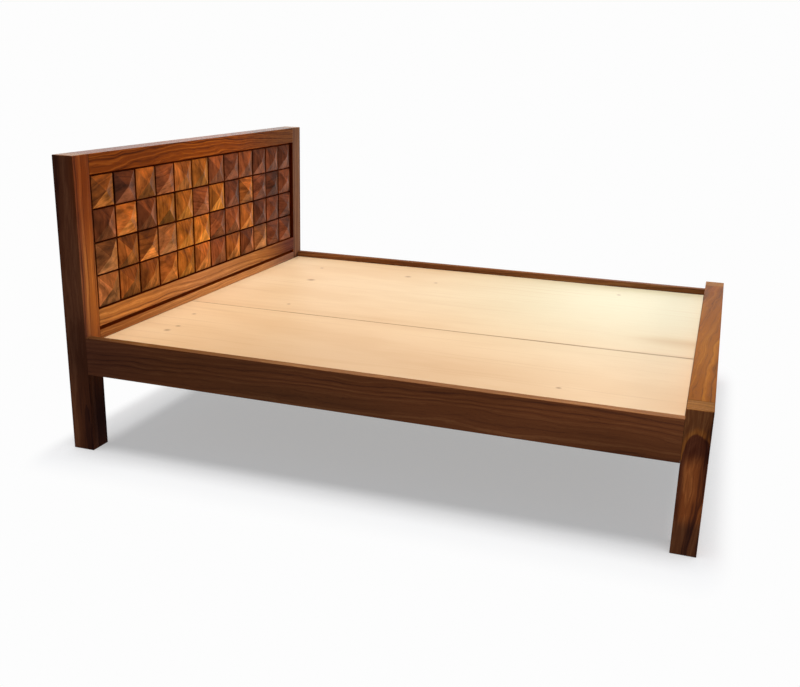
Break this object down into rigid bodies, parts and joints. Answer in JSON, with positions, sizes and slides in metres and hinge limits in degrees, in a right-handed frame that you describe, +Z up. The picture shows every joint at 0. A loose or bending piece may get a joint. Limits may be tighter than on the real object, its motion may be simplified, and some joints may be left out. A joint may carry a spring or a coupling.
{
  "type": "wooden platform bed",
  "caption": "Low solid-wood platform bed on square posts, with a tall headboard of faceted blocks, a low foot rail and loose plywood deck boards over slats.",
  "frame": {"origin": "on the floor, under the middle of the bed's outer box", "axes": "+Y from the foot end to the headboard along the length, +X to the right seen from the foot end, +Z up"},
  "size_m": [1.75, 2.146, 1.036],
  "materials": {
    "sheesham": "satin lacquer over honey-brown rosewood grain",
    "sheesham_blocks": "satin lacquer, tone and grain vary from block to block",
    "plywood": "bare pale veneer",
    "slat_wood": "unfinished planed softwood",
    "zinc_steel": "zinc plated"
  },
  "bodies": {
    "bed_frame": {"head_post_left": "sheesham", "head_post_right": "sheesham", "head_top_rail": "sheesham", "head_panel_rail": "sheesham", "head_cross_rail": "sheesham", "head_block_panel": "sheesham_blocks", "foot_post_left": "sheesham", "foot_post_right": "sheesham", "foot_rail": "sheesham", "foot_plank": "sheesham", "side_rail_left": "sheesham", "side_rail_right": "sheesham", "side_ledger_left": "slat_wood", "side_ledger_right": "slat_wood", "end_ledger_head": "slat_wood", "end_ledger_foot": "slat_wood", "slat_1": "slat_wood", "slat_2": "slat_wood", "slat_3": "slat_wood", "slat_4": "slat_wood", "slat_5": "slat_wood", "slat_6": "slat_wood", "slat_7": "slat_wood", "centre_beam": "slat_wood", "beam_saddle_head": "slat_wood", "beam_saddle_foot": "slat_wood", "centre_leg": "slat_wood", "rail_bracket_head_left": "zinc_steel", "rail_bracket_head_right": "zinc_steel", "rail_bracket_foot_left": "zinc_steel", "rail_bracket_foot_right": "zinc_steel", "rail_screw_head_left": "zinc_steel", "rail_screw_head_right": "zinc_steel", "rail_screw_foot_left": "zinc_steel", "rail_screw_foot_right": "zinc_steel", "post_screw_head_left": "zinc_steel", "post_screw_head_right": "zinc_steel", "post_screw_foot_left": "zinc_steel", "post_screw_foot_right": "zinc_steel"},
    "deck_board_left": {"deck_board_left": "plywood"},
    "deck_board_right": {"deck_board_right": "plywood"}
  },
  "joints": [
    {"name": "deck_board_left_lift", "type": "slide", "parent": "bed_frame", "child": "deck_board_left", "axis": [0, 0, 1], "range_m": [0, 0.12]},
    {"name": "deck_board_right_lift", "type": "slide", "parent": "bed_frame", "child": "deck_board_right", "axis": [0, 0, 1], "range_m": [0, 0.12]}
  ]
}
